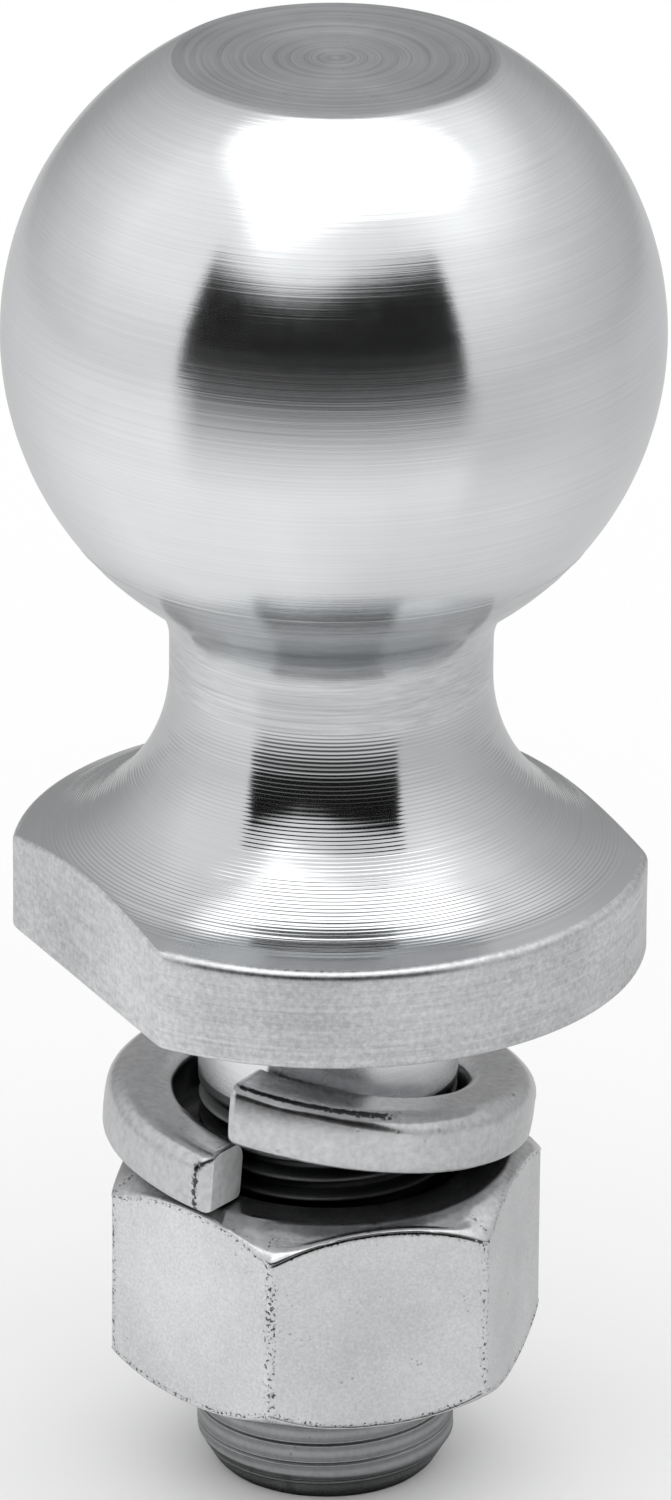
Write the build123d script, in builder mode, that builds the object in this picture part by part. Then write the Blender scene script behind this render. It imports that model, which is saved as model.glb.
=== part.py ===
"""Threaded tow ball with its split lock washer and hexagon nut, in millimetres.

The centre of the shank's end face is the origin and the ball is on top, along +Z.
The collar's two wrench flats face +X and -X.
"""
import os
from math import cos, radians, sin, sqrt, tan

from build123d import *

# Ball
ball_diameter = 47.625  # 1 7/8 in
crown_flat_diameter = 23.4  # flat turned on top of the ball
crown_edge_radius = 1.6

# Neck, which sweeps out into the sloping top of the collar
neck_diameter = 23.4
neck_length = 2.46  # straight part, between the ball's root and the sweep
neck_root_radius = 5.0  # hollow that runs from the neck out onto the ball
sweep_radius = 14.0
collar_slope = 21.0  # degrees below level

# Collar
collar_diameter = 46.3
collar_rim_height = 7.35  # from the underside to the rim's upper corner
collar_across_flats = 39.7  # takes a 1 9/16 in wrench
collar_rim_radius = 0.55  # rounding of the rim's upper corner
collar_underside_radius = 0.4

# Shank, whose thread has the shank's own diameter over its crests
shank_diameter = 19.05  # 3/4 in
shank_length = 41.6  # below the collar
shank_root_radius = 0.8
shank_end_diameter = 16.1
shank_end_taper = 2.25  # length of the tapered lead-in

# Hexagon nut
nut_across_flats = 28.575  # 1 1/8 in
nut_height = 16.6
nut_face_diameter = 26.6  # round face inside the crowned corners
nut_crown_slope = 22.0  # degrees below level where the crown leaves the face
nut_crown_radius = 8.4
nut_bore_chamfer = 0.65
nut_clearance = 0.05  # radial, round the shank
nut_position = 8.25  # from the shank's end to the nut's underside
nut_corner_angle = -11.9  # of one corner, from +X

# Lock washer, one left-hand turn of rounded bar that leans on the nut
washer_outer_diameter = 31.5
washer_inner_diameter = 21.1
washer_thickness = 4.7
washer_top_edge_radius = 1.5
washer_bottom_edge_radius = 0.6
washer_pitch = 6.0
washer_split = 3.4  # degrees left open between the cut ends
washer_cut_lean = 3.0  # degrees off square, so the cut ends stand upright
washer_end_bevel = 0.8  # on the lower cut end's outer corner
washer_low_end_angle = -147.6  # of the lower cut end, from +X
washer_tilt = 7.2  # degrees, its -X side up
washer_shift_x = -0.6  # it lies loose, off the shank's axis
washer_shift_y = 0.75
washer_clearance = 0.05  # above the nut

# Heights and radii that follow from these sizes
ball_radius = ball_diameter / 2
neck_radius = neck_diameter / 2
rim_radius = collar_diameter / 2
shank_radius = shank_diameter / 2
crown_radius = crown_flat_diameter / 2
collar_underside = shank_length
rim_top = collar_underside + collar_rim_height
slope = radians(collar_slope)
sweep_end_radius = neck_radius + sweep_radius * (1 - sin(slope))
sweep_end = rim_top + (rim_radius - sweep_end_radius) * tan(slope)
sweep_start = sweep_end + sweep_radius * cos(slope)
root_start = sweep_start + neck_length
root_reach = ball_radius + neck_root_radius  # between the centres of root and ball
root_drop = sqrt(root_reach**2 - (neck_radius + neck_root_radius) ** 2)
root_end_radius = (neck_radius + neck_root_radius) * ball_radius / root_reach
ball_centre = root_start + root_drop
root_end = ball_centre - root_drop * ball_radius / root_reach
crown_height = ball_centre + sqrt(ball_radius**2 - crown_radius**2)
nut_underside = nut_position
nut_top = nut_underside + nut_height


def ring(radius, height):
    """Pick the circular edges with this radius at this height."""
    return lambda edge: (
        edge.geom_type == GeomType.CIRCLE
        and abs(edge.radius - radius) < 0.001
        and abs(edge.arc_center.Z - height) < 0.001
    )


# Ball, neck, collar and shank are one forging, turned all over
with BuildPart() as tow_ball:
    # Neck and collar
    with BuildSketch(Plane.XZ):
        with BuildLine():
            Polyline(
                (neck_radius, sweep_start),
                (neck_radius, root_start),
                (0, root_start),
                (0, collar_underside),
                (rim_radius, collar_underside),
                (rim_radius, rim_top),
                (sweep_end_radius, sweep_end),
            )
            TangentArc(
                (neck_radius, sweep_start),
                (sweep_end_radius, sweep_end),
                tangent=(0, -1),
            )
        make_face()
    revolve(axis=Axis.Z)
    fillet(tow_ball.edges().filter_by(ring(rim_radius, rim_top)), collar_rim_radius)

    # Wrench flats, cut straight down through the collar
    with BuildSketch(Plane.XY.offset(collar_underside)):
        with Locations((collar_across_flats, 0), (-collar_across_flats, 0)):
            Rectangle(collar_across_flats, 2 * collar_diameter)
    extrude(amount=ball_centre, mode=Mode.SUBTRACT)
    underside = tow_ball.faces().sort_by(Axis.Z)[0]
    fillet(underside.edges(), collar_underside_radius)

    # Ball with a flat crown, and the hollow root below it
    with BuildSketch(Plane.XZ):
        with BuildLine():
            RadiusArc((neck_radius, root_start), (root_end_radius, root_end), neck_root_radius)
            RadiusArc((root_end_radius, root_end), (ball_radius, ball_centre), -ball_radius)
            RadiusArc((ball_radius, ball_centre), (crown_radius, crown_height), -ball_radius)
            Line((crown_radius, crown_height), (0, crown_height))
            Line((0, crown_height), (0, root_start))
            Line((0, root_start), (neck_radius, root_start))
        make_face()
    revolve(axis=Axis.Z)
    fillet(tow_ball.edges().filter_by(ring(crown_radius, crown_height)), crown_edge_radius)

    # Shank with a tapered lead-in at its end
    with BuildSketch(Plane.XZ):
        with BuildLine():
            Polyline(
                (0, 0),
                (shank_end_diameter / 2, 0),
                (shank_radius, shank_end_taper),
                (shank_radius, collar_underside),
                (0, collar_underside),
                close=True,
            )
        make_face()
    revolve(axis=Axis.Z)
    shank_root = tow_ball.edges().filter_by(ring(shank_radius, collar_underside))
    fillet(shank_root, shank_root_radius)

# Hexagon nut, its corners crowned on both faces
with BuildPart() as hex_nut:
    nut_face_radius = nut_face_diameter / 2
    nut_corner_radius = nut_across_flats / sqrt(3)
    crown_tangent = (cos(radians(nut_crown_slope)), sin(radians(nut_crown_slope)))
    crown_centre_x = nut_face_radius - nut_crown_radius * crown_tangent[1]
    crown_centre_z = nut_underside + nut_crown_radius * crown_tangent[0]
    blank_radius = nut_corner_radius + nut_bore_chamfer
    crown_rise = sqrt(nut_crown_radius**2 - (blank_radius - crown_centre_x) ** 2)
    crown_foot = crown_centre_z - crown_rise
    crown_head = nut_top - (crown_foot - nut_underside)
    with BuildSketch(Plane.XY.offset(nut_underside)):
        RegularPolygon(
            nut_across_flats / 2, 6, major_radius=False, rotation=nut_corner_angle
        )
    extrude(amount=nut_height)
    with BuildSketch(Plane.XZ):
        with BuildLine():
            Line((0, nut_underside), (nut_face_radius, nut_underside))
            RadiusArc(
                (nut_face_radius, nut_underside),
                (blank_radius, crown_foot),
                -nut_crown_radius,
            )
            Line((blank_radius, crown_foot), (blank_radius, crown_head))
            RadiusArc(
                (blank_radius, crown_head),
                (nut_face_radius, nut_top),
                -nut_crown_radius,
            )
            Line((nut_face_radius, nut_top), (0, nut_top))
            Line((0, nut_top), (0, nut_underside))
        make_face()
    revolve(axis=Axis.Z, mode=Mode.INTERSECT)
    nut_bore_radius = shank_radius + nut_clearance
    with BuildSketch(Plane.XY.offset(nut_underside)):
        Circle(nut_bore_radius)
    extrude(amount=nut_height, mode=Mode.SUBTRACT)
    bore_edges = hex_nut.edges().filter_by(ring(nut_bore_radius, nut_underside))
    bore_edges += hex_nut.edges().filter_by(ring(nut_bore_radius, nut_top))
    chamfer(bore_edges, nut_bore_chamfer)

# Split washer, coiled level round the origin before it is laid on the nut
with BuildPart() as coil:
    bar_width = (washer_outer_diameter - washer_inner_diameter) / 2
    coil_radius = washer_outer_diameter / 2 - bar_width / 2
    coil_rise = washer_pitch * (360 - washer_split) / 360
    with BuildLine() as centre_line:
        Helix(washer_pitch, coil_rise, coil_radius, lefthand=True)
    low_end = centre_line.line @ 0
    along = centre_line.line % 0
    cut_normal = (along.X, along.Y, -tan(radians(washer_cut_lean)))
    with BuildSketch(Plane(low_end, (low_end.X, low_end.Y, 0), cut_normal)) as bar:
        Rectangle(bar_width, washer_thickness)
        fillet(bar.vertices().group_by(Axis.Y)[-1], washer_top_edge_radius)
        fillet(bar.vertices().group_by(Axis.Y)[0], washer_bottom_edge_radius)
    sweep(is_frenet=True)
    # Bevel down the lower cut end's outer corner, clear of the end above it
    bevel_bottom = Plane.XY.offset(-washer_thickness)
    with BuildSketch(bevel_bottom):
        with Locations((washer_outer_diameter / 2, 0)):
            Rectangle(sqrt(2) * washer_end_bevel, sqrt(2) * washer_end_bevel, rotation=45)
    extrude(amount=1.6 * washer_thickness, mode=Mode.SUBTRACT)

washer_turn = Location((0, 0, 0), (0, 0, washer_low_end_angle))
washer_lean = Location((washer_shift_x, washer_shift_y, 0), (0, washer_tilt, 0))
leaning_coil = washer_lean * washer_turn * coil.part
washer_lift = nut_top + washer_clearance - leaning_coil.bounding_box().min.Z

with BuildPart() as lock_washer:
    add(leaning_coil.moved(Location((0, 0, washer_lift))))

os.makedirs("parts", exist_ok=True)
tow_ball.part.label = "tow_ball"
hex_nut.part.label = "hex_nut"
lock_washer.part.label = "lock_washer"
export_step(tow_ball.part, "parts/tow_ball.step")
export_step(hex_nut.part, "parts/hex_nut.step")
export_step(lock_washer.part, "parts/lock_washer.step")
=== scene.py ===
"""Threaded tow ball with its split lock washer and hexagon nut, in a white studio."""
import math

import bmesh
import bpy
import numpy as np
from mathutils import Matrix, Vector


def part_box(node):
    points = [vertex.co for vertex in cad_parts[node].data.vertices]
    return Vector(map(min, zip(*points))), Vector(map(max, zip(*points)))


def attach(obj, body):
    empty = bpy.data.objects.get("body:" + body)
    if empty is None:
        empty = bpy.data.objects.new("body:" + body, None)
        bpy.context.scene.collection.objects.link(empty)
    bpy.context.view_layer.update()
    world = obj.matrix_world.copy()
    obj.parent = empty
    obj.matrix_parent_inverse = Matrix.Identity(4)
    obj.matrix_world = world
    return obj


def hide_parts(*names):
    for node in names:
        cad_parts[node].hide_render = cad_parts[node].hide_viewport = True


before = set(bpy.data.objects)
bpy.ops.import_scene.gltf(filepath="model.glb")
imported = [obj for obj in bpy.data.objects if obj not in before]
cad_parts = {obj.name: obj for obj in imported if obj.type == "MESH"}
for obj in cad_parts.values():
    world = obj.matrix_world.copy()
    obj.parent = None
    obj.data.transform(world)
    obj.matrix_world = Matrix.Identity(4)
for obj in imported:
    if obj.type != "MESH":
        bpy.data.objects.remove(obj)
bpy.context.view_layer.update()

MM = 0.001
TURN = 2 * math.pi

# Sizes in millimetres, as in the part's source
BALL_R = 23.8125
BALL_Z = 88.906
CROWN_Z = 109.646
CROWN_FILLET = 1.6
NECK_R = 11.7
NECK_FILLET = 5.0
SWEEP_R = 14.0
SWEEP_X = NECK_R + SWEEP_R
SWEEP_Z = 62.967
SLOPE = math.radians(21.0)
RIM_R = 23.15
RIM_TOP = 48.95
UNDERSIDE = 41.6
UNDERSIDE_FILLET = 0.4
FLAT = 19.85
SHANK_R = 9.525
SHANK_FILLET = 0.8


def ease(t):
    """Smooth rise from 0 to 1."""
    return t * t * (3 - 2 * t)


def smoothstep(a, b, x):
    """0 up to a and 1 from b on, smooth between; b may lie below a."""
    return ease(np.clip((np.asarray(x, float) - a) / (b - a), 0.0, 1.0))


def lattice(seed, count):
    """Random numbers from -1 to 1."""
    return np.random.default_rng(seed).uniform(-1.0, 1.0, count)


def noise1(x, seed):
    """Smooth noise of one variable, about -1 to 1, one lump per unit."""
    count = 512
    table = lattice(seed, count)
    x = np.asarray(x, float)
    i = np.floor(x).astype(int)
    t = ease(x - i)
    return table[i % count] * (1 - t) + table[(i + 1) % count] * t


def noise_round(angle, x, around, seed):
    """Smooth noise over an angle and a length that closes after a full turn."""
    count = 256
    table = lattice(seed, around * count).reshape(around, count)
    a = (np.asarray(angle, float) / TURN) % 1.0 * around
    i = np.floor(a).astype(int) % around
    u = ease(a - np.floor(a))
    x = np.asarray(x, float)
    j = np.floor(x).astype(int)
    v = ease(x - j)
    i2 = (i + 1) % around
    low = table[i, j % count] * (1 - u) + table[i2, j % count] * u
    high = table[i, (j + 1) % count] * (1 - u) + table[i2, (j + 1) % count] * u
    return low * (1 - v) + high * v


# Mesh helpers

def make_object(name, points, faces, materials, slots=None, smooth_angle=None, values=None):
    """A mesh object from millimetre points and faces, slots giving each face's material.

    values maps the name of a vertex attribute to its numbers.
    """
    mesh = bpy.data.meshes.new(name)
    mesh.from_pydata([tuple(p) for p in np.asarray(points) * MM], [], faces)
    for key, numbers in (values or {}).items():
        mesh.attributes.new(key, "FLOAT", "POINT").data.foreach_set("value", numbers)
    for material in materials:
        mesh.materials.append(material)
    if slots is not None:
        mesh.polygons.foreach_set("material_index", slots)
    mesh.polygons.foreach_set("use_smooth", [True] * len(mesh.polygons))
    bm = bmesh.new()
    bm.from_mesh(mesh)
    bmesh.ops.remove_doubles(bm, verts=bm.verts, dist=1e-8)
    bmesh.ops.recalc_face_normals(bm, faces=bm.faces)
    if smooth_angle is not None:
        for edge in bm.edges:
            if len(edge.link_faces) == 2 and edge.calc_face_angle() > smooth_angle:
                edge.smooth = False
    bm.to_mesh(mesh)
    bm.free()
    mesh.update()
    obj = bpy.data.objects.new(name, mesh)
    bpy.context.scene.collection.objects.link(obj)
    return obj


def ring_points(angle, radius, height):
    """Points at these angles round the axis; radius and height are numbers or arrays."""
    height = np.broadcast_to(height, angle.shape)
    return list(np.stack([radius * np.cos(angle), radius * np.sin(angle), height], 1))


def ring_faces(rows, columns, first=0):
    """Quads between rows of points that close round the axis."""
    faces = []
    for i in range(rows - 1):
        a = first + i * columns
        b = a + columns
        for j in range(columns):
            k = (j + 1) % columns
            faces.append((a + j, a + k, b + k, b + j))
    return faces


def bezier(p0, p1, p2, t):
    """Points on a quadratic curve, the corner p1 rounded off between p0 and p2."""
    return (1 - t) ** 2 * p0 + 2 * t * (1 - t) * p1 + t * t * p2


# Node helpers

def clear_tree(owner, output_kind, shader_kind):
    """The tree of a material or world, with one shader on its output and nothing else."""
    owner.use_nodes = True
    tree = owner.node_tree
    tree.nodes.clear()
    out = tree.nodes.new(output_kind)
    shader = tree.nodes.new(shader_kind)
    tree.links.new(shader.outputs[0], out.inputs[0])
    return tree, shader


def start_material(name, shader_kind):
    material = bpy.data.materials.new(name)
    tree, shader = clear_tree(material, "ShaderNodeOutputMaterial", shader_kind)
    return material, tree, shader


def start_metal(name, base, metallic, roughness):
    material, tree, shader = start_material(name, "ShaderNodeBsdfPrincipled")
    shader.inputs["Base Color"].default_value = (*base, 1)
    shader.inputs["Metallic"].default_value = metallic
    shader.inputs["Roughness"].default_value = roughness
    return material, tree, shader


def math_node(tree, operation, *values):
    made = tree.nodes.new("ShaderNodeMath")
    made.operation = operation
    for socket, value in zip(made.inputs, values):
        if isinstance(value, (int, float)):
            socket.default_value = value
        else:
            tree.links.new(value, socket)
    return made.outputs[0]


def product(tree, *factors):
    total = factors[0]
    for factor in factors[1:]:
        total = math_node(tree, "MULTIPLY", total, factor)
    return total


def weigh(tree, a, weight, b):
    """a and b together, a with this weight and b with the rest."""
    return math_node(tree, "ADD", product(tree, a, weight), product(tree, b, 1 - weight))


def blend_number(tree, share, a, b):
    """Number a where share is 0, b where it is 1."""
    left = product(tree, math_node(tree, "SUBTRACT", 1.0, share), a)
    return math_node(tree, "ADD", left, product(tree, share, b))


def ramp(tree, source, stops):
    made = tree.nodes.new("ShaderNodeValToRGB")
    elements = made.color_ramp.elements
    while len(elements) < len(stops):
        elements.new(0.5)
    for element, (at, value) in zip(elements, stops):
        element.position = at
        element.color = (*value, 1) if isinstance(value, tuple) else (value, value, value, 1)
    tree.links.new(source, made.inputs[0])
    return made.outputs[0]


def map_range(tree, source, low, high, to_low, to_high, interpolation="LINEAR"):
    made = tree.nodes.new("ShaderNodeMapRange")
    made.interpolation_type = interpolation
    made.inputs["From Min"].default_value = low
    made.inputs["From Max"].default_value = high
    made.inputs["To Min"].default_value = to_low
    made.inputs["To Max"].default_value = to_high
    tree.links.new(source, made.inputs["Value"])
    return made.outputs[0]


def soft_step(tree, source, low, high):
    """0 below low, 1 above high, and smooth between; falls instead if high is below low."""
    if high < low:
        return map_range(tree, source, high, low, 1.0, 0.0, "SMOOTHSTEP")
    return map_range(tree, source, low, high, 0.0, 1.0, "SMOOTHSTEP")


def object_coordinates(tree):
    return tree.nodes.new("ShaderNodeTexCoord").outputs["Object"]


def object_xyz(tree):
    split = tree.nodes.new("ShaderNodeSeparateXYZ")
    tree.links.new(object_coordinates(tree), split.inputs[0])
    return tuple(split.outputs)


def axis_distance(tree, x, y):
    return math_node(tree, "SQRT", math_node(
        tree, "ADD", product(tree, x, x), product(tree, y, y)))


def noise_texture(tree, vector, scale, detail, roughness):
    made = tree.nodes.new("ShaderNodeTexNoise")
    made.inputs["Scale"].default_value = scale
    made.inputs["Detail"].default_value = detail
    made.inputs["Roughness"].default_value = roughness
    tree.links.new(vector, made.inputs["Vector"])
    return made.outputs["Fac"]


def turning_lines(tree, fineness, drift, detail, roughness):
    """Noise that hardly changes round the Z axis, so that it gives turning lines."""
    x, y, z = object_xyz(tree)
    around = math_node(tree, "ADD", product(tree, x, drift), product(tree, y, drift * 0.83))
    join = tree.nodes.new("ShaderNodeCombineXYZ")
    tree.links.new(product(tree, axis_distance(tree, x, y), fineness), join.inputs[0])
    tree.links.new(product(tree, z, fineness), join.inputs[1])
    tree.links.new(around, join.inputs[2])
    return noise_texture(tree, join.outputs[0], 1.0, detail, roughness)


def bump(tree, shader, layers):
    """Stacks bump layers of (height, distance in metres) on the shader."""
    normal = None
    for height, distance in layers:
        made = tree.nodes.new("ShaderNodeBump")
        made.inputs["Distance"].default_value = distance
        made.inputs["Strength"].default_value = 1.0
        tree.links.new(height, made.inputs["Height"])
        if normal is not None:
            tree.links.new(normal, made.inputs["Normal"])
        normal = made.outputs[0]
    tree.links.new(normal, shader.inputs["Normal"])


def attribute(tree, name):
    made = tree.nodes.new("ShaderNodeAttribute")
    made.attribute_name = name
    return made.outputs["Fac"]


def gap_shade_mask(tree, reach, low, high):
    """1 in the open, falling to 0 in gaps narrower than about the reach in metres."""
    # Painted shade: this ambient occlusion mask darkens the colour in gaps between parts
    made = tree.nodes.new("ShaderNodeAmbientOcclusion")
    made.samples = 4
    made.inputs["Distance"].default_value = reach
    return soft_step(tree, made.outputs["AO"], low, high)


def scale_colour(tree, colour, factor):
    made = tree.nodes.new("ShaderNodeVectorMath")
    made.operation = "SCALE"
    tree.links.new(colour, made.inputs[0])
    tree.links.new(factor, made.inputs["Scale"])
    return made.outputs[0]


def shades(base, darker, lighter):
    """A colour made darker and lighter by these shares."""
    return (tuple(c * (1 - darker) for c in base),
            tuple(min(1.0, c * (1 + lighter)) for c in base))


# Materials

GAP_REACH = 6 * MM  # gaps narrower than this get painted shade
PAINTED_GAP_SHADE_TONE = 0.03
GAP_ROUGHNESS = 0.95
# Colour of dark pits; it also paints shade lines under the nut's front edge and along the washer's
# edge
DIRT_AND_PAINTED_SHADE = (0.03, 0.03, 0.032, 1)


def turned_metal(name, base, roughness, stretch, fineness, depth, streak=0.05, hollow=None):
    """Plated steel off the lathe: lines round the axis, the reflection drawn out across them.

    hollow says between which heights the metal changes, and its roughness, stretch and share
    of the tone below them.
    """
    material, tree, shader = start_metal(name, base, 1.0, roughness)
    shader.inputs["Anisotropic"].default_value = stretch
    shader.inputs["Anisotropic Rotation"].default_value = 0.25
    tangent = tree.nodes.new("ShaderNodeTangent")
    tangent.direction_type = "RADIAL"
    tangent.axis = "Z"
    tree.links.new(tangent.outputs[0], shader.inputs["Tangent"])
    fine = turning_lines(tree, fineness, drift=60.0, detail=3.0, roughness=0.6)
    hair = turning_lines(tree, fineness * 2.6, drift=45.0, detail=2.0, roughness=0.7)
    broad = turning_lines(tree, fineness * 0.22, drift=25.0, detail=2.0, roughness=0.5)
    place = object_coordinates(tree)
    grain = noise_texture(tree, place, scale=900.0, detail=3.0, roughness=0.6)
    cloud = noise_texture(tree, place, scale=90.0, detail=3.0, roughness=0.55)
    dark, light = shades(base, streak, streak)
    colour = ramp(tree, weigh(tree, hair, 0.6, cloud), [(0.3, dark), (0.7, light)])
    rough = weigh(tree, broad, 0.5, grain)
    spread = map_range(tree, rough, 0.25, 0.75, roughness * 0.8, roughness * 1.25)
    if hollow:
        share = soft_step(tree, object_xyz(tree)[2], hollow["start"] * MM, hollow["end"] * MM)
        spread = blend_number(tree, share, spread, hollow["roughness"])
        tree.links.new(blend_number(tree, share, stretch, hollow["stretch"]),
                       shader.inputs["Anisotropic"])
        scratch = turning_lines(tree, 5200.0, drift=420.0, detail=4.0, roughness=0.75)
        tone = hollow["tone"]
        scratched = map_range(tree, scratch, 0.3, 0.7, tone * 0.82, tone * 1.16)
        colour = scale_colour(tree, colour, blend_number(tree, share, 1.0, scratched))
    tree.links.new(colour, shader.inputs["Base Color"])
    tree.links.new(spread, shader.inputs["Roughness"])
    bump(tree, shader, [(fine, depth), (hair, depth * 0.5), (broad, depth * 1.5),
                        (grain, depth * 0.3)])
    return material


def satin_metal(name, base, roughness, grain_scale, depth, pits, lines=0.0, gap_shade=None,
                worn_and_shaded=False, threaded=None, contrast=1.0, metallic=1.0):
    """Satin zinc plate: fine grain, soft dents and dark pits.

    lines is the depth of faint turning marks; gap the open shares between which painted shade
    darkens it in gaps; worn turns on dark pits along rubbed edges and painted shade lines, both
    read from the mesh's wear attribute; threaded gives the thread's tones: crests partly polished
    and partly painted light, lips and end painted lighter, roots painted darker.
    """
    material, tree, shader = start_metal(name, base, metallic, roughness)
    place = object_coordinates(tree)
    grain = noise_texture(tree, place, grain_scale, detail=4.0, roughness=0.62)
    lumps = noise_texture(tree, place, grain_scale * 0.16, detail=3.0, roughness=0.5)
    cloud = noise_texture(tree, place, scale=70.0, detail=4.0, roughness=0.6)
    patch = noise_texture(tree, place, scale=260.0, detail=3.0, roughness=0.6)

    # Pits, in patches and along worn edges, and painted shade lines where the wear attribute is
    # high
    cells = tree.nodes.new("ShaderNodeTexVoronoi")
    cells.inputs["Scale"].default_value = grain_scale * 0.55
    tree.links.new(place, cells.inputs["Vector"])
    spot = map_range(tree, cells.outputs["Distance"], 0.10, 0.26, 1.0, 0.0)
    pit_and_shade_mask = product(tree, spot, map_range(tree, patch, 0.62 - pits, 0.70 - pits * 0.5, 0.0, 1.0))
    if worn_and_shaded:
        crumbs = noise_texture(tree, place, scale=3900.0, detail=2.0, roughness=0.6)
        ragged = product(tree, math_node(tree, "SUBTRACT", crumbs, 0.5), 2.2)
        edge = math_node(tree, "ADD", attribute(tree, "wear_and_painted_shade"), ragged)
        torn_and_shaded = product(tree, soft_step(tree, edge, 0.78, 1.02), 1.45)
        pit_and_shade_mask = math_node(tree, "MAXIMUM", pit_and_shade_mask, torn_and_shaded)

    # Tone
    tone = weigh(tree, cloud, 0.5, grain)
    if lines:
        turned = turning_lines(tree, 2600.0, drift=130.0, detail=3.0, roughness=0.7)
        tone = blend_number(tree, 0.25, tone, turned)
    dark, light = shades(base, 0.14 * contrast, 0.10 * contrast)
    tint = ramp(tree, tone, [(0.38, dark), (0.62, light)])
    # Painted light and shade on threads: tones read from the crest attribute
    if threaded:
        crest, root = threaded
        tint = scale_colour(tree, tint, map_range(tree, attribute(tree, "crest"),
                                                  0.55, 3.0, root, crest))
    mix = tree.nodes.new("ShaderNodeMix")
    mix.data_type = "RGBA"
    tree.links.new(product(tree, pit_and_shade_mask, 0.62), mix.inputs["Factor"])
    tree.links.new(tint, mix.inputs["A"])
    mix.inputs["B"].default_value = DIRT_AND_PAINTED_SHADE
    colour = mix.outputs["Result"]
    rough = weigh(tree, grain, 0.6, cloud)
    spread = map_range(tree, rough, 0.3, 0.7, roughness * 0.82, roughness * 1.2)
    if gap_shade:
        # Painted shade in gaps: the colour darkens there, and the roughness rises
        unshaded_share = gap_shade_mask(tree, GAP_REACH, *gap_shade)
        colour = scale_colour(tree, colour,
                              map_range(tree, unshaded_share, 0.0, 1.0, PAINTED_GAP_SHADE_TONE, 1.0))
        spread = blend_number(tree, unshaded_share, GAP_ROUGHNESS, spread)
    tree.links.new(colour, shader.inputs["Base Color"])
    tree.links.new(spread, shader.inputs["Roughness"])
    layers = [(grain, depth), (lumps, depth * 3.0), (product(tree, pit_and_shade_mask, -1.0), depth * 5.0)]
    if lines:
        layers.append((turned, lines))
    bump(tree, shader, layers)
    return material


ball_metal = turned_metal(
    "turned_ball", (0.765, 0.78, 0.795), roughness=0.13, stretch=0.64, fineness=2900.0,
    depth=9.0e-6, streak=0.08, hollow={"start": BALL_Z - 12.5, "end": BALL_Z - 15.5,
                                       "roughness": 0.18, "stretch": 0.90, "tone": 0.84})
slope_metal = turned_metal(
    "turned_slope", (0.63, 0.64, 0.65), roughness=0.10, stretch=0.5, fineness=2600.0,
    depth=1.5e-6)
band_metal = turned_metal(
    "burnished_band", (0.62, 0.63, 0.64), roughness=0.15, stretch=0.9, fineness=2600.0,
    depth=1.2e-6)
crown_metal = turned_metal(
    "turned_crown", (0.60, 0.61, 0.625), roughness=0.30, stretch=0.85, fineness=1500.0,
    depth=6.0e-6, streak=0.30)
rim_metal = satin_metal(
    "satin_rim", (0.64, 0.645, 0.655), roughness=0.30, grain_scale=2600.0, depth=6.0e-6,
    pits=-0.05, lines=5.5e-6, contrast=2.3)
shank_metal = turned_metal(
    "turned_shank", (0.80, 0.81, 0.82), roughness=0.26, stretch=0.5, fineness=2200.0,
    depth=5.0e-6, streak=0.10)
# The thread gets painted shade in gaps, and painted light and shade along its turns
thread_metal = satin_metal(
    "plated_thread", (0.39, 0.40, 0.405), roughness=0.36, grain_scale=2400.0, depth=3.0e-6,
    pits=0.0, gap_shade=(0.30, 0.88), threaded=(2.7, 0.8))
# The washer's wear marks include a painted shade line along its upper outer edge
washer_metal = satin_metal(
    "satin_washer", (0.60, 0.605, 0.615), roughness=0.20, grain_scale=1900.0, depth=4.4e-6,
    pits=0.04, worn_and_shaded=True, contrast=1.4)
sheared_metal = satin_metal(
    "sheared_end", (0.60, 0.605, 0.61), roughness=0.45, grain_scale=1500.0, depth=5.0e-6,
    pits=0.02, contrast=1.6, metallic=0.15)
# The nut's wear marks include painted shade in the torn strip under its front edge
nut_metal = satin_metal(
    "satin_nut", (0.74, 0.745, 0.755), roughness=0.35, grain_scale=4200.0, depth=3.5e-6,
    pits=0.04, worn_and_shaded=True, contrast=1.3)
# Painted shade darkens the nut's face in the gap under the washer
nut_face_metal = satin_metal(
    "smooth_nut_face", (0.66, 0.665, 0.675), roughness=0.17, grain_scale=1800.0, depth=4.5e-6,
    pits=0.03, gap_shade=(0.30, 0.64), worn_and_shaded=True, contrast=1.4)


# Ball, neck and collar, in rows of (radius, height, material) from the crown down

ON_CROWN, ON_BALL, ON_SLOPE, ON_RIM, ON_BAND = range(5)
CROWN_LEVEL = CROWN_Z - 0.008  # of the faced crown, so that its rings stay below the part's top
TOOL_LINES = [(18.7, 0.035), (17.5, 0.020)]  # distance from the axis and height
TOOL_LINE_ROWS = (-0.0085, -0.0055, 0.0, 0.0055, 0.0085)  # radians round the ball
CONE_R = SWEEP_X - SWEEP_R * math.sin(SLOPE)  # where the sweep meets the straight slope
FEED = 0.30
GROOVE_DEPTH = 0.0125
GROOVES = 59
UPPER_GROOVES = 13
MIDDLE_GROOVES = 31
# Shapes of a groove, as (place in the feed, share of the depth)
UPPER_MARKS = [(0.03, 1.0), (0.25, 0.5), (0.47, 0.0), (0.53, 0.0), (0.75, 0.5), (0.97, 1.0)]
MIDDLE_MARKS = [(0.05, 1.0), (0.38, 0.5), (0.70, 0.0), (0.77, 0.0), (0.95, 1.0)]
LOWER_MARKS = [(0.05, 1.0), (0.20, 0.0), (0.28, 0.0), (0.62, 0.5), (0.95, 1.0)]


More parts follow.
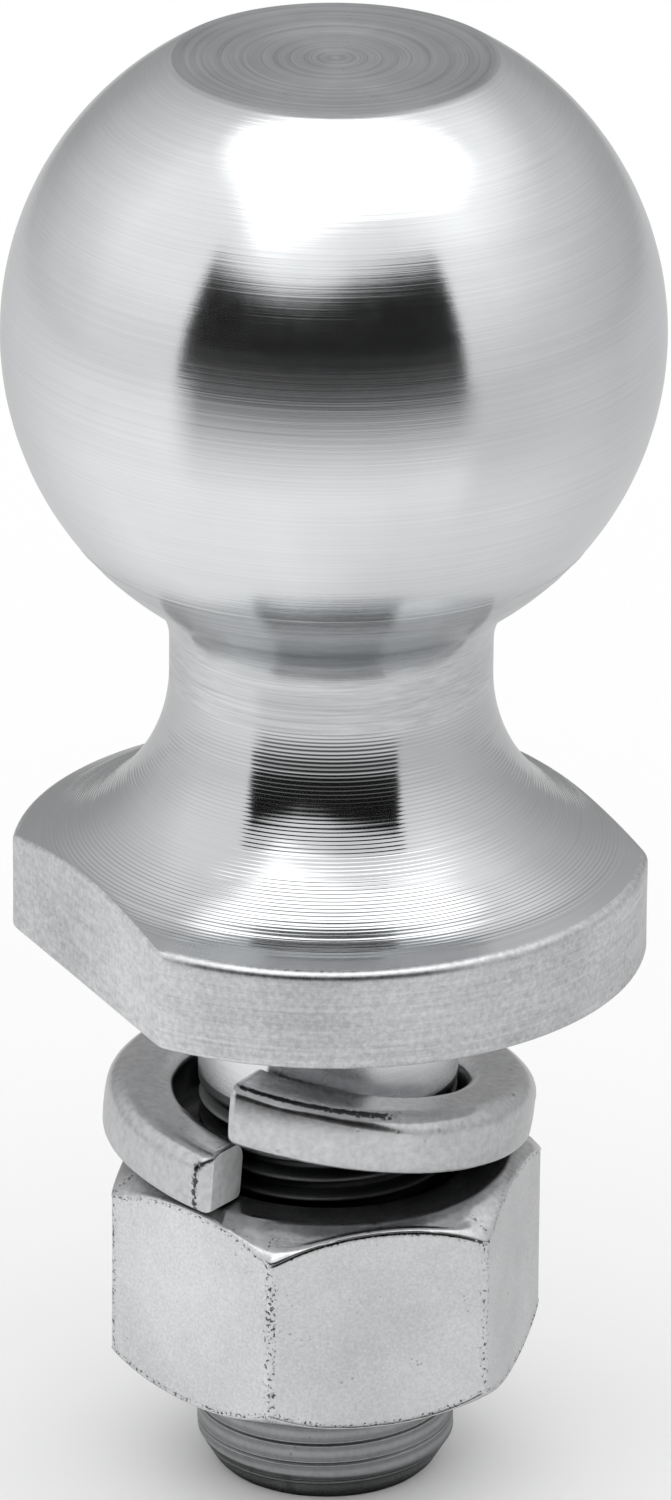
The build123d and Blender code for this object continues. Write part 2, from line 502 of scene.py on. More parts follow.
def column_angles(count):
    """Even angles, with close ones at the four corners between the flats and the rim."""
    corner = math.degrees(math.acos(FLAT / RIM_R))
    near = [-1.6, -1.0, -0.6, -0.3, 0.0, 0.3, 0.6, 1.0, 1.6]
    close = []
    for centre in (corner, 180 - corner, 180 + corner, 360 - corner):
        close += [centre + step for step in near]
    even = [360.0 * i / count for i in range(count)]
    even = [a for a in even if min(abs(a - c) for c in close) > 0.9]
    return np.radians(np.array(sorted(even + close)))


def crown_rows():
    """Crown with the shallow rings left by facing it, its edge, and the angle it ends at."""
    drop = CROWN_Z - BALL_Z - CROWN_FILLET
    flat_r = math.sqrt((BALL_R - CROWN_FILLET) ** 2 - drop ** 2)
    end = math.atan2(flat_r, drop)
    rows = []
    for radius in np.linspace(0.25, flat_r, 46):
        ring = 0.002 * math.sin(radius * 7.3) + 0.004 * float(noise1(radius * 2.1, 3))
        fade = float(smoothstep(flat_r, flat_r - 0.8, radius))
        rows.append((radius, CROWN_LEVEL + ring * fade, ON_CROWN))
    for turn in np.linspace(0.0, end, 8)[1:]:
        rows.append((flat_r + CROWN_FILLET * math.sin(turn),
                     CROWN_Z - CROWN_FILLET + CROWN_FILLET * math.cos(turn),
                     ON_BALL if turn > 0.25 else ON_CROWN))
    return rows, end


def ball_rows(start):
    """Ball with two raised tool lines, from this angle off its top; its root and the neck."""
    root_z = -math.sqrt((BALL_R + NECK_FILLET) ** 2 - (NECK_R + NECK_FILLET) ** 2)
    last = math.atan2(NECK_R + NECK_FILLET, root_z)
    lines = {math.pi - math.asin(reach / BALL_R): raised for reach, raised in TOOL_LINES}
    polars = [p for p in np.linspace(start, last, 100)[1:]
              if min(abs(p - line) for line in lines) > TOOL_LINE_ROWS[-1] + 0.0005]
    for line in lines:
        polars += [line + step for step in TOOL_LINE_ROWS]
    rows = []
    for polar in sorted(polars):
        level = BALL_R + lines.get(polar, 0.0)
        rows.append((level * math.sin(polar), BALL_Z + level * math.cos(polar), ON_BALL))
    for turn in np.linspace(last - math.pi / 2, 0.0, 20)[1:]:
        rows.append((NECK_R + NECK_FILLET * (1 - math.cos(turn)),
                     BALL_Z + root_z + NECK_FILLET * math.sin(turn), ON_BALL))
    for height in np.linspace(BALL_Z + root_z, SWEEP_Z, 6)[1:]:
        rows.append((NECK_R, height, ON_BALL))
    return rows


def slope_height(radius):
    """Height of the sweep and slope at this radius."""
    arc = SWEEP_Z - np.sqrt(np.maximum(SWEEP_R ** 2 - (SWEEP_X - radius) ** 2, 0.0))
    cone = RIM_TOP + (RIM_R - radius) * math.tan(SLOPE)
    return np.where(radius < CONE_R, arc, cone)


def groove_rows(edge_r):
    """Sweep and slope with the slanted grooves of the turning feed, out to the edge."""
    sweep_length = SWEEP_R * (math.pi / 2 - SLOPE)
    rows = []
    for groove in range(GROOVES):
        depth = GROOVE_DEPTH * (1 + 0.25 * float(noise1(groove * 0.83, 5)))
        depth *= float(smoothstep(-1.0, 3.0, groove)) * (1.0 if groove < GROOVES - 2 else 0.5)
        if groove < UPPER_GROOVES:
            marks = UPPER_MARKS
            depth *= 1.2
        elif groove < MIDDLE_GROOVES:
            marks = MIDDLE_MARKS
            depth *= 1.05
        else:
            marks = LOWER_MARKS
            depth *= 0.7 + 2.1 * float(smoothstep(MIDDLE_GROOVES, GROOVES - 8, groove))
        for place, share in marks:
            along = (groove + place) * FEED
            turn = min(along, sweep_length) / SWEEP_R
            over = max(along - sweep_length, 0.0)
            base_r = SWEEP_X - SWEEP_R * math.cos(turn) + over * math.cos(SLOPE)
            base_z = SWEEP_Z - SWEEP_R * math.sin(turn) - over * math.sin(SLOPE)
            sunk = depth * share * smoothstep(0.0, 0.25, edge_r - base_r)
            radius = np.minimum(base_r - sunk * math.cos(turn), edge_r)
            height = np.where(base_r < edge_r, base_z - sunk * math.sin(turn),
                              slope_height(edge_r))
            rows.append((radius, height, ON_SLOPE if groove > 1 else ON_BALL))
    return rows


def rim_rows(angle, groove_r, limit, round_top):
    """Smooth band outside the grooves, rounded edge, rim and flats, and the underside."""
    rows = []
    edge_r = limit - round_top
    edge_z = slope_height(edge_r)
    inner = np.minimum(groove_r, edge_r)
    for step in np.linspace(0.0, 1.0, 8)[1:]:
        radius = inner + (edge_r - inner) * step
        rows.append((radius, slope_height(radius), ON_BAND))
    top_z = slope_height(limit)
    for t in np.linspace(0.0, 1.0, 7)[1:]:
        rows.append((bezier(edge_r, limit, limit, t),
                     bezier(edge_z, top_z, top_z - round_top, t), ON_RIM))
    low_z = UNDERSIDE + UNDERSIDE_FILLET
    uneven = 0.012
    for t in np.linspace(0.0, 1.0, 16)[1:]:
        height = (top_z - round_top) * (1 - t) + low_z * t
        wander = uneven * noise_round(angle, height * 0.35, 24, 11) * math.sin(math.pi * t)
        rows.append((limit + wander - uneven * math.sin(math.pi * t), height, ON_RIM))
    for t in np.linspace(0.0, 1.0, 6)[1:]:
        rows.append((bezier(limit, limit, limit - UNDERSIDE_FILLET, t),
                     bezier(low_z, UNDERSIDE, UNDERSIDE, t), ON_RIM))
    inside_shank = 8.0
    for step in np.linspace(0.0, 1.0, 10)[1:]:
        rows.append(((limit - UNDERSIDE_FILLET) * (1 - step) + inside_shank * step,
                     UNDERSIDE, ON_RIM))
    return rows


def build_head():
    """Ball, neck and collar, whose two flats are cut straight down."""
    angle = column_angles(116)
    columns = len(angle)

    # Outline of the collar seen from above, its corners a little rounded
    flat_limit = FLAT / np.maximum(np.abs(np.cos(angle)), 1e-6)
    soft = 0.10
    limit = -soft * np.logaddexp(-flat_limit / soft, -RIM_R / soft)
    on_flat = smoothstep(0.35, -0.35, flat_limit - RIM_R)
    round_top = 0.52 - 0.34 * on_flat

    rows, crown_end = crown_rows()
    rows += ball_rows(crown_end)
    rows += groove_rows(limit - round_top)
    rows += rim_rows(angle, rows[-1][0], limit, round_top)
    points = []
    for radius, height, _ in rows:
        points += ring_points(angle, radius, height)
    faces = ring_faces(len(rows), columns)
    slots = []
    for _, _, slot in rows[1:]:
        slots += [slot] * columns
    top = len(points)
    bottom = top + 1
    points += [(0.0, 0.0, CROWN_LEVEL), (0.0, 0.0, UNDERSIDE)]
    last = (len(rows) - 1) * columns
    for j in range(columns):
        k = (j + 1) % columns
        faces += [(top, k, j), (last + j, last + k, bottom)]
        slots += [ON_CROWN, ON_RIM]
    return make_object("ball_and_collar", points, faces,
                       [crown_metal, ball_metal, slope_metal, rim_metal, band_metal],
                       slots, math.radians(50))


# Threads

PITCH = 1.5875
# Rows of points in one pitch, close at the root where the phase is 0.5
THREAD_PHASES = (0.0, 0.04, 0.075, 0.12, 0.20, 0.28, 0.36, 0.40, 0.44, 0.47, 0.5,
                 0.53, 0.56, 0.60, 0.64, 0.72, 0.80, 0.88, 0.925, 0.96)


def thread_height(phase):
    """Height above the root as a share of the depth, rounded crest at phase 0."""
    crest_end = 0.055
    root_start = 0.40
    away = np.minimum(phase, 1 - phase)
    straight = np.clip((root_start - away) / (root_start - crest_end), 0, 1)
    return 0.45 * ease(straight) + 0.55 * straight


def helical_rows(low, high, angle, radius_at):
    """Rows of a right-hand thread between two heights, its ends closed up to level rings.

    angle holds one full turn of column angles, and radius_at gives a row's radii from its
    heights and phase.
    """
    columns = len(angle)
    turns = int(math.ceil((high - low) / PITCH)) + 2
    steps = len(THREAD_PHASES)
    start = math.floor(low / PITCH - 1) * PITCH
    total = turns * steps
    rise = angle / TURN * PITCH
    points = []
    for i in range(total + 1):
        raw = start + (i // steps + THREAD_PHASES[i % steps]) * PITCH + rise
        height = np.clip(raw, low, high)
        phase = ((raw - rise) / PITCH) % 1.0
        points += ring_points(angle, radius_at(height, phase), height)
    faces = []
    for i in range(total):
        a = i * columns
        b = a + columns
        for j in range(columns - 1):
            faces.append((a + j, a + j + 1, b + j + 1, b + j))
        # The last column joins the first one a turn higher
        if i + 1 + steps <= total:
            up = steps * columns
            faces.append((a + columns - 1, a + up, b + up, b + columns - 1))
    return points, faces


def build_shank():
    """Threaded shank: tapered end, shallow first turns, thread, run-out and plain neck."""
    columns = 128
    crest_r = 9.47
    depth = 0.93
    thread_top = 31.2
    plain_start = thread_top + 0.4
    end_r = 8.05
    end_round = 0.175
    taper = 2.25
    taper_r = 9.40
    polish_and_painted_light = []

    def radius_at(height, phase):
        """Radii of a row; its painted tones for the crest attribute are kept on the way."""
        form = thread_height(phase)

        # The first turns are slots with a raised lip on both sides;
        # the lips and the tapered end get painted light
        slot = smoothstep(0.075, 0.0, np.abs(phase - 0.5))
        lip = np.clip(1 - np.abs(np.abs(phase - 0.5) - 0.10) / 0.04, 0.0, 1.0)
        end_turns = smoothstep(9.2, 8.0, height)
        first = (0.09 * slot - 0.03 * lip) * end_turns
        # Crests partly polished and partly painted light, roots painted darker, lips and end
        # painted lighter
        polish_and_painted_light.extend(form + 1.6 * lip * end_turns + 2.0 * smoothstep(2.6, 0.8, height))

        # Full thread above them, its run-out, and the tapered end
        full = smoothstep(7.6, 9.0, height) * smoothstep(thread_top, thread_top - 1.8, height)
        run_out = smoothstep(thread_top - 1.5, thread_top + 0.2, height)
        top = crest_r + (SHANK_R - crest_r) * run_out
        thread = top - depth * full * (1 - form) - first
        cone = end_r + (taper_r - end_r) * height / taper
        cone = np.where(height < taper + 0.4, cone - 0.5 * first * smoothstep(0.3, 1.0, height),
                        np.inf)
        return np.minimum(thread, cone) - end_round * smoothstep(0.45, 0.0, height)

    angle = TURN * np.arange(columns) / columns
    points, faces = helical_rows(0.0, plain_start, angle, radius_at)
    slots = [1] * len(faces)

    # Plain part, its root fillet, and an end inside the collar
    root_z = UNDERSIDE - SHANK_FILLET
    rings = [(SHANK_R, height) for height in np.linspace(plain_start, root_z, 12)]
    for turn in np.linspace(0.0, math.pi / 2, 7)[1:]:
        rings.append((SHANK_R + SHANK_FILLET * (1 - math.cos(turn)),
                      root_z + SHANK_FILLET * math.sin(turn)))
    rings.append((SHANK_R + SHANK_FILLET, 42.2))
    first = len(points)
    for radius, height in rings:
        points += ring_points(angle, radius, height)
    upper = ring_faces(len(rings), columns, first)
    last = first + (len(rings) - 1) * columns
    upper.append(tuple(range(last, last + columns)))
    faces += upper
    slots += [0] * len(upper)

    # Face of the end
    low = len(points)
    for inward in (0.0, 0.25, 2.5):
        points += ring_points(angle, end_r - end_round - inward, 0.0)
    cap = ring_faces(3, columns, low)
    cap.append(tuple(range(low + 2 * columns, low + 3 * columns)))
    faces += cap
    slots += [1] * len(cap)
    polish_and_painted_light += [0.7] * (len(points) - len(polish_and_painted_light))
    return make_object("threaded_shank", points, faces, [shank_metal, thread_metal],
                       slots, math.radians(60), {"crest": polish_and_painted_light})


# Nut

NUT_LOW = 8.25
NUT_HIGH = 24.85
NUT_FLAT = 28.575 / 2
NUT_FACE_R = 13.3
NUT_CORNER = math.radians(-11.9)
NUT_CROWN_SLOPE = math.radians(22.0)
NUT_CROWN_R = 8.4
ON_SIDE, ON_THREAD, ON_FACE = range(3)
SIXTH = math.pi / 3


def nut_column_angles():
    """Columns round the nut from one corner, close at all six."""
    steps = [0.0, 0.35, 0.75, 1.2, 1.8, 2.6, 3.8, 5.4, 7.4, 9.8, 12.4, 15.0, 17.6, 20.2,
             22.6, 25.0, 27.5, 30.0]
    sixth = steps + [60 - s for s in steps[-2:0:-1]]
    angles = []
    for k in range(6):
        angles += [math.radians(60 * k + s) for s in sixth]
    return np.array(angles)


def nut_side_radius(local):
    """Distance of the hexagon's side from the axis, its upright edges a little rounded."""
    side = NUT_FLAT / np.maximum(np.cos(local % SIXTH - SIXTH / 2), 0.1)
    cap = NUT_FLAT / math.cos(SIXTH / 2) - 0.12
    soft = 0.14
    return -soft * np.logaddexp(-side / soft, -cap / soft)


def crown_drop(radius):
    """How far the crowned corner lies below the nut's face at this radius."""
    centre_r = NUT_FACE_R - NUT_CROWN_R * math.sin(NUT_CROWN_SLOPE)
    centre_z = -NUT_CROWN_R * math.cos(NUT_CROWN_SLOPE)
    inside = np.maximum(NUT_CROWN_R ** 2 - (radius - centre_r) ** 2, 0.0)
    drop = -(centre_z + np.sqrt(inside))
    return np.where(radius < NUT_FACE_R, 0.0, drop)


def build_nut():
    """Hexagon nut with crowned ends, torn along its top edge in front, and a threaded bore.

    Its rows are (radius, height, wear and painted shade, material) from the bore's upper mouth
    over the outside to the lower one.
    """
    local = nut_column_angles()
    angle = local + NUT_CORNER
    columns = len(angle)
    side = nut_side_radius(local)
    bore_r = 9.62
    thread_depth = 0.62
    mouth_r = bore_r + 0.85
    mouth_drop = 0.16
    face_start = mouth_r + 0.22
    face_end = NUT_FACE_R - 0.25
    from_corner = np.degrees(np.minimum(local % SIXTH, -local % SIXTH))
    upright = smoothstep(4.4, 0.6, from_corner)
    tip = np.exp(-(from_corner / 6.0) ** 2)
    degrees = np.degrees(local)
    right_edge = smoothstep(20.0, 5.0, np.abs(degrees - 300.0))
    front_arc = smoothstep(237.0, 243.0, degrees) * smoothstep(303.0, 292.0, degrees)

    def half(face_z, sign, lift, step, torn_and_shaded):
        """From the bore's mouth over the face and the crown to the nut's side."""
        part = []
        for t in np.linspace(0.0, 1.0, 5):
            part.append((mouth_r + (face_start - mouth_r) * t,
                         face_z - sign * mouth_drop * (1 - t) ** 2, 0.0, ON_FACE))
        for radius in np.linspace(face_start, face_end, 9)[1:]:
            part.append((radius, face_z, 0.0, ON_FACE))
        for t in np.linspace(0.0, 1.0, 12)[1:]:
            radius = face_end * (1 - t) + (side - 0.42 - 1.00 * tip) * t
            blend = smoothstep(face_end, NUT_FACE_R + 0.5, radius)
            part.append((radius, face_z - sign * crown_drop(radius) * blend, 0.3 * t ** 4,
                         ON_FACE))

        # Raised edge, rolled out over the side, and the torn strip below it;
        # in front the strip's high wear values paint it dark as shade under the edge
        size = lift * (0.75 + 0.25 * noise_round(local, 1.3, 60, 21))
        tear = step * (0.8 + 0.2 * noise_round(local, 4.7, 90, 23))
        rim = crown_drop(side)
        for inward, above in ((0.30, 0.0), (0.20, 0.05), (0.10, 0.07), (0.0, 0.05)):
            radius = side - inward * (1 + 3.2 * tip)
            drop = crown_drop(radius) - above * size * (1 + 1.6 * tip)
            part.append((radius, face_z - sign * drop, 0.5 - 0.25 * torn_and_shaded - 0.3 * tip, ON_FACE))
        for outward, below, worn_and_shaded in ((0.08, 0.02, 0.4), (0.09, 0.08, 0.5), (0.0, 0.13, 0.75)):
            part.append((side + outward * size, face_z - sign * (rim + below), worn_and_shaded, ON_FACE))
        for worn_and_shaded, below, share in ((1.3, 0.18, 1.0), (1.3, 0.28, 1.0), (0.7, 0.34, 0.15)):
            part.append((side - tear * share, face_z - sign * (rim + below),
                         0.7 + (worn_and_shaded - 0.7) * torn_and_shaded, ON_SIDE))
        for below, worn_and_shaded in ((0.46, 0.55), (0.75, 0.2)):
            part.append((side, face_z - sign * (rim + below), worn_and_shaded, ON_SIDE))
        return part

    rows = half(NUT_HIGH, 1.0, 0.5 + 0.8 * front_arc, 0.03 + 0.20 * front_arc, front_arc)
    lower = half(NUT_LOW, -1.0, 0.5, 0.04, 0.0)
    high_z = rows[-1][1]
    low_z = lower[-1][1]
    for t in np.linspace(0.0, 1.0, 26)[1:-1]:
        height = high_z * (1 - t) + low_z * t
        swell = math.sin(math.pi * t)
        dent = 0.02 * noise_round(local, height * 0.22, 30, 31) * swell
        rows.append((side + dent - 0.02 * swell, height, 0.0, ON_SIDE))
    rows += reversed(lower)
    points = []
    wear_and_painted_shade = []
    for radius, height, worn_and_shaded, _ in rows:
        points += ring_points(angle, radius, height)
        height = np.broadcast_to(height, angle.shape)
        on_side = np.broadcast_to(worn_and_shaded, angle.shape) > 0.15
        on_side = on_side | (height < NUT_HIGH - 3.0) & (height > NUT_LOW + 3.0)
        wear_and_painted_shade += list(np.maximum(worn_and_shaded, (0.70 - 0.07 * right_edge) * upright * on_side))
    faces = ring_faces(len(rows), columns)
    slots = []
    for above, below in zip(rows, rows[1:]):
        slots += [min(above[3], below[3])] * columns

    # Thread of the bore, which shares its end rings with the mouths
    bore_low = NUT_LOW + mouth_drop
    bore_high = NUT_HIGH - mouth_drop

    def radius_at(height, phase):
        radius = bore_r + 0.02 - thread_depth * (1 - thread_height(phase)) * 0.85
        edge = np.minimum(height - bore_low, bore_high - height)
        return np.maximum(radius, mouth_r - edge * 1.05)

    bore, bore_faces = helical_rows(bore_low, bore_high, angle, radius_at)
    first = len(points)
    points += bore
    wear_and_painted_shade += [0.0] * len(bore)
    faces += [tuple(first + i for i in reversed(face)) for face in bore_faces]
    slots += [ON_THREAD] * len(bore_faces)
    return make_object("hexagon_nut", points, faces, [nut_metal, thread_metal, nut_face_metal],
                       slots, math.radians(40), {"wear_and_painted_shade": wear_and_painted_shade, "crest": [0.6] * len(points)})


# Split washer

COIL_R = 13.15
BAR_HALF_W = 2.6
BAR_HALF_T = 2.35
COIL_PITCH = 6.0
BAR_TOP_ROUND = 1.5
BAR_LOW_ROUND = 0.6
WASHER_SPLIT = math.radians(3.4)
WASHER_CUT_LEAN = math.radians(3.0)
WASHER_LOW_END = math.radians(-147.6)
WASHER_TILT = math.radians(7.2)
WASHER_SHIFT = (-0.6, 0.75, 0.0)
WASHER_BEVEL = 0.8


def arc_points(x, y, radius, start, count):
    """Quarter of a circle round (x, y), from this angle on."""
    turns = [start + math.pi / 2 * k / count for k in range(count + 1)]
    return [(x + radius * math.cos(turn), y + radius * math.sin(turn)) for turn in turns]


def bar_section(top_round):
    """The bar's outline, its outer side a little bulged."""
    top_x, top_y = BAR_HALF_W - top_round, BAR_HALF_T - top_round
    low_x, low_y = BAR_HALF_W - BAR_LOW_ROUND, BAR_HALF_T - BAR_LOW_ROUND
    outline = arc_points(top_x, top_y, top_round, 0.0, 7)
    outline += [(x, BAR_HALF_T) for x in (0.6, 0.0, -0.6)]
    outline += arc_points(-top_x, top_y, top_round, math.pi / 2, 7)
    outline += [(-BAR_HALF_W, y) for y in (0.2, -0.7)]
    outline += arc_points(-low_x, -low_y, BAR_LOW_ROUND, math.pi, 5)
    outline += [(x, -BAR_HALF_T) for x in (-1.0, 0.0, 1.0)]
    outline += arc_points(low_x, -low_y, BAR_LOW_ROUND, -math.pi / 2, 5)
    outline += [(BAR_HALF_W, y) for y in (-0.9, -0.2, 0.4)]
    outline = np.array(outline)
    outer = smoothstep(0.0, BAR_HALF_W, outline[:, 0])
    outline[:, 0] -= 0.16 * outer * (outline[:, 1] / BAR_HALF_T) ** 2
    return outline


def build_washer():
    """One left-hand turn of bar, tilted and shifted as it lies on the nut."""
    length = (TURN - WASHER_SPLIT) * COIL_R
    count = len(bar_section(BAR_TOP_ROUND))
    number = np.arange(count)

    # Stations along the bar, as (distance, how far the rounded end draws in)
    ends = [(0.0, 0.42), (0.05, 0.30), (0.16, 0.16), (0.30, 0.05), (0.45, 0.0)]
    stations = list(ends)
    stations += [(along, 0.0) for along in np.linspace(0.6, length - 0.6, 300)]
    stations += [(length - along, shrink) for along, shrink in reversed(ends)]
    points = []
    wear_and_painted_shade = []
    for along, shrink in stations:
        a = along / COIL_R
        radial = np.array([math.cos(a), -math.sin(a), 0.0])
        travel = np.array([-math.sin(a), -math.cos(a), 0.0])
        upright = np.array([0.0, 0.0, math.cos(WASHER_CUT_LEAN)])
        upright += math.sin(WASHER_CUT_LEAN) * travel
        centre = COIL_R * radial + np.array([0.0, 0.0, COIL_PITCH * a / TURN])
        flatter = 0.55 * float(smoothstep(length - 14.0, length - 4.0, along))
        outline = bar_section(BAR_TOP_ROUND - flatter)
        u = outline[:, 0] * ((BAR_HALF_W - 0.45 * shrink) / BAR_HALF_W)
        v = outline[:, 1] * ((BAR_HALF_T - 0.45 * shrink) / BAR_HALF_T)
        u = np.minimum(u, BAR_HALF_W - max(0.0, WASHER_BEVEL - along))

        # A painted shade line along the upper outer edge near one end,
        # and a dark line on the other end's lower outer edge
        edge = np.exp(-((number - 4.5) / 1.3) ** 2)
        torn_and_shaded = 1.5 * smoothstep(length - 12.5, length - 9.0, along)
        torn_and_shaded = torn_and_shaded * (1 - smoothstep(length - 0.6, length - 0.1, along))
        low_edge = 1.3 * smoothstep(1.5, 0.75, along) * smoothstep(0.55, 0.75, along)
        on_low_edge = (u > BAR_HALF_W - 0.4) * (v > -BAR_HALF_T)
        wear_and_painted_shade += list(np.maximum(edge * torn_and_shaded, low_edge * on_low_edge))

        # Uneven surface
        wave = noise_round(np.full(count, a), number * 0.28, 40, 41)
        slow = noise_round(np.full(count, a), number * 0.10, 12, 43)
        swell = (0.020 * wave + 0.035 * slow - 0.05) * (1.0 if shrink == 0.0 else 0.3)
        norm = np.maximum(np.hypot(u, v), 1e-6)
        u += swell * u / norm
        v += swell * v / norm
        points += list(centre + np.outer(u, radial) + np.outer(v, upright))
    faces = ring_faces(len(stations), count)
    base = (len(stations) - 1) * count
    faces.append(tuple(range(count)))
    faces.append(tuple(base + j for j in reversed(range(count))))
    slots = [0] * (len(faces) - 2) + [1, 1]
    place = (Matrix.Translation(WASHER_SHIFT) @ Matrix.Rotation(WASHER_TILT, 4, "Y")
             @ Matrix.Rotation(WASHER_LOW_END, 4, "Z"))
    turned = np.array([tuple(place @ Vector(p)) for p in points])
    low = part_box("lock_washer")[0][2] / MM
    turned[:, 2] += low - turned[:, 2].min()
    return make_object("split_washer", turned, faces, [washer_metal, sheared_metal], slots,
                       math.radians(35), {"wear_and_painted_shade": wear_and_painted_shade})


head = build_head()
shank = build_shank()
washer = build_washer()
nut = build_nut()

for piece, body in ((head, "tow_ball"), (shank, "tow_ball"),
                    (washer, "lock_washer"), (nut, "hex_nut")):
    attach(piece, body)
    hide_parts(body)


# Camera, at the photograph's viewing angle, and the studio

def build_camera():
    distance = 845.6 * MM
    elevation = math.radians(21.2)
    azimuth = math.radians(-117.5)
    pan = math.radians(-0.024)
    tilt = math.radians(-2.021)
    roll = math.radians(-0.45)
    focal_pixels = 11853.75
    picture_height = 1500.0
    centre = Vector((0, 0, BALL_Z * MM))
    away = Vector((math.cos(elevation) * math.cos(azimuth),
                   math.cos(elevation) * math.sin(azimuth), math.sin(elevation)))
    forward = -away
    right = Vector((-math.sin(azimuth), math.cos(azimuth), 0))
    up = right.cross(forward)
    turn = Matrix.Rotation(pan, 3, up)
    forward, right = turn @ forward, turn @ right
    turn = Matrix.Rotation(tilt, 3, right)
    forward, up = turn @ forward, turn @ up
    turn = Matrix.Rotation(roll, 3, forward)
    right, up = turn @ right, turn @ up
    data = bpy.data.cameras.new("camera")
    data.sensor_fit = "VERTICAL"
    data.sensor_height = 36.0
    data.lens = focal_pixels * data.sensor_height / picture_height
    data.clip_start = 0.01
    data.clip_end = 50.0
    camera = bpy.data.objects.new("camera", data)
    bpy.context.scene.collection.objects.link(camera)
    camera_axes = Matrix((right, up, -forward)).transposed().to_4x4()
    camera.matrix_world = Matrix.Translation(centre + away * distance) @ camera_axes
    bpy.context.scene.camera = camera


def band(tree, source, points, low, high):
    """A number read off a curve of (x, value) points, for x from low to high."""
    at = map_range(tree, source, low, high, 0.0, 1.0)
    top = max(value for _, value in points)
    stops = [((x - low) / (high - low), value / top) for x, value in points]
    return product(tree, ramp(tree, at, stops), top)


def bearings(tree):
    """Bearing in degrees, 0 in front and 90 on the right, height in degrees, distance, x, y, z."""
    x, y, z = object_xyz(tree)
    back = product(tree, y, -1.0)
    azimuth = math_node(tree, "DEGREES", math_node(tree, "ARCTAN2", x, back))
    away = axis_distance(tree, x, y)
    elevation = math_node(tree, "DEGREES", math_node(tree, "ARCTAN2", z, away))
    return azimuth, elevation, away, (x, y, z)


def stage_object(name, mesh, material, height, camera_sees):
    """A piece of the studio, turned so that its front faces the camera."""
    obj = bpy.data.objects.new(name, mesh)
    bpy.context.scene.collection.objects.link(obj)
    obj.data.materials.append(material)
    obj.location = (0, 0, height)
    obj.rotation_euler = (0, 0, math.radians(-27.5))
    obj.visible_camera = camera_sees
    return obj


def build_walls():
    """The studio's walls, a soft box overhead and a dark window, which only the metal sees."""
    mesh = bpy.data.meshes.new("studio_walls")
    bm = bmesh.new()
    bmesh.ops.create_uvsphere(bm, u_segments=64, v_segments=32, radius=2.5)
    bm.to_mesh(mesh)
    bm.free()
    material, tree, light = start_material("studio_walls", "ShaderNodeEmission")
    azimuth, elevation, _, (x, y, z) = bearings(tree)

    # Walls, in three heights by bearing
    low = band(tree, azimuth, [
        (-180, 0.33), (-155, 0.40), (-125, 0.65), (-90, 0.80), (0, 0.80), (60, 0.68),
        (90, 0.64), (180, 0.33)], -180, 180)
    middle = band(tree, azimuth, [
        (-180, 0.40), (-155, 0.47), (-95, 0.96), (0, 0.90), (65, 0.90), (100, 0.74),
        (145, 0.57), (180, 0.40)], -180, 180)
    high = band(tree, azimuth, [
        (-180, 0.42), (-145, 0.54), (-100, 0.97), (-52, 0.92), (-25, 1.14), (10, 0.92),
        (30, 0.91), (67, 1.20), (125, 1.00), (160, 0.55), (180, 0.42)], -180, 180)
    wall = blend_number(tree, soft_step(tree, elevation, 2.0, 27.0), low, middle)
    wall = blend_number(tree, soft_step(tree, elevation, 25.0, 49.0), wall, high)

    # Soft box overhead, a slanted quadrilateral on a level ceiling
    height = math_node(tree, "MAXIMUM", z, 0.01)
    over_x = math_node(tree, "DIVIDE", x, height)
    over_y = math_node(tree, "DIVIDE", y, height)
    skewed = math_node(tree, "SUBTRACT", over_y, product(tree, over_x, 0.40))
    box = product(tree, soft_step(tree, over_x, -0.70, -0.38), soft_step(tree, over_x, 0.94, 0.52),
                  soft_step(tree, skewed, -0.72, -0.44), soft_step(tree, over_y, 0.30, 0.08))
    box_light = 2.1
    lit = blend_number(tree, box, wall, box_light)

    # Dark window in front, up to a height that changes with the bearing
    top = band(tree, azimuth, [
        (-60, 38), (-45, 36), (-22, 32.5), (-5, 34.5), (8, 38), (25, 40), (50, 40)], -60, 50)
    below = soft_step(tree, math_node(tree, "SUBTRACT", elevation, top), 4.5, -5.0)
    window = product(tree, below, soft_step(tree, azimuth, -55.0, -51.5),
                     soft_step(tree, azimuth, 48.0, 44.0))
    pane = band(tree, elevation, [(0, 0.10), (3, 0.06), (9, 0.03), (15, 0.012), (30, 0.008),
                                  (60, 0.008)], 0, 60)
    seen = blend_number(tree, window, lit, pane)
    tree.links.new(seen, light.inputs["Strength"])
    material.cycles.emission_sampling = "NONE"
    walls = stage_object("studio_walls", mesh, material, BALL_Z * MM, False)
    walls.visible_diffuse = False
    walls.visible_shadow = False
    walls.visible_transmission = False


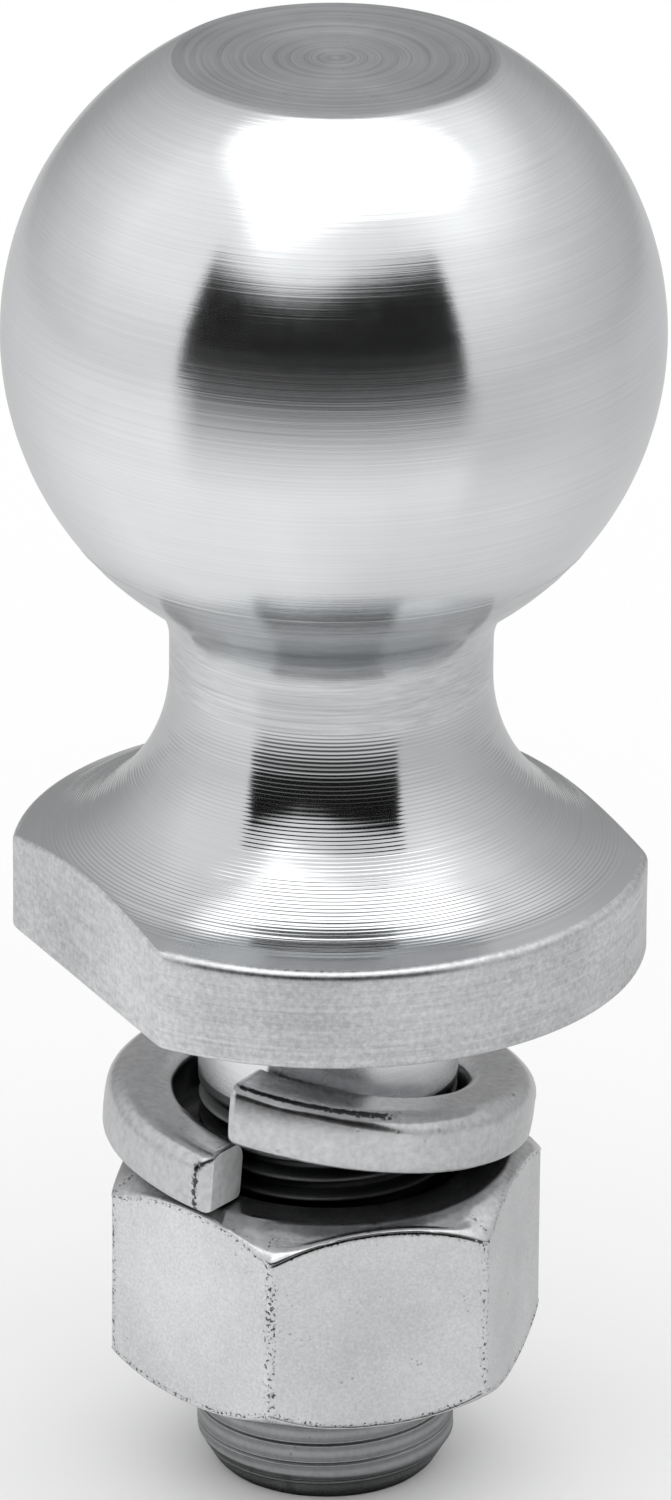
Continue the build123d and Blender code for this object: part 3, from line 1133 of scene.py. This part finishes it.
def build_floor():
    """White floor that keeps the shadow, and in what metal sees
    has painted shade that dims it away from the part.
    """
    mesh = bpy.data.meshes.new("floor")
    size = 2.2
    mesh.from_pydata([(-size, -size, 0), (size, -size, 0), (size, size, 0), (-size, size, 0)],
                     [], [(0, 1, 2, 3)])
    material, tree, shader = start_material("floor", "ShaderNodeBsdfDiffuse")
    azimuth, _, away, _ = bearings(tree)
    # Painted shade in what metal sees: darker away from the part, and by bearing
    ahead = band(tree, away, [
        (0.0, 1.0), (0.11, 1.0), (0.175, 0.84), (0.22, 0.72), (0.29, 0.60), (0.42, 0.42),
        (0.67, 0.27), (1.5, 0.12)], 0.0, 1.5)
    close = band(tree, azimuth, [
        (-180, 0.65), (-145, 0.71), (-90, 0.97), (-20, 0.98), (20, 0.87), (80, 0.78),
        (125, 0.68), (180, 0.65)], -180, 180)
    middle = band(tree, azimuth, [
        (-180, 0.60), (-155, 0.61), (-80, 0.92), (-60, 0.95), (50, 0.65), (85, 0.65),
        (110, 0.60), (180, 0.60)], -180, 180)
    distant = band(tree, azimuth, [
        (-180, 0.30), (-160, 0.38), (-140, 0.56), (-60, 0.85), (50, 0.62), (75, 0.62),
        (150, 0.44), (180, 0.30)], -180, 180)
    around = blend_number(tree, soft_step(tree, away, 0.09, 0.24), close, middle)
    around = blend_number(tree, soft_step(tree, away, 0.30, 0.90), around, distant)
    front = product(tree, soft_step(tree, azimuth, -56, -44), soft_step(tree, azimuth, 52, 40),
                    soft_step(tree, away, 0.08, 0.16))
    painted_floor_shade = blend_number(tree, front, around, ahead)
    path = tree.nodes.new("ShaderNodeLightPath")
    tone = blend_number(tree, path.outputs["Is Glossy Ray"], 1.0, painted_floor_shade)
    join = tree.nodes.new("ShaderNodeCombineColor")
    for socket in join.inputs[:3]:
        tree.links.new(tone, socket)
    tree.links.new(join.outputs[0], shader.inputs["Color"])
    below_part = -0.02 * MM
    stage_object("floor", mesh, material, below_part, True)


def build_world():
    """White all round: it is the backdrop, and it lights the floor evenly."""
    world = bpy.data.worlds.new("studio")
    bpy.context.scene.world = world
    _, light = clear_tree(world, "ShaderNodeOutputWorld", "ShaderNodeBackground")
    light.inputs["Color"].default_value = (1, 1, 1, 1)
    light.inputs["Strength"].default_value = 1.0


build_camera()
build_walls()
build_floor()
build_world()

bpy.context.scene.view_settings.view_transform = "Standard"
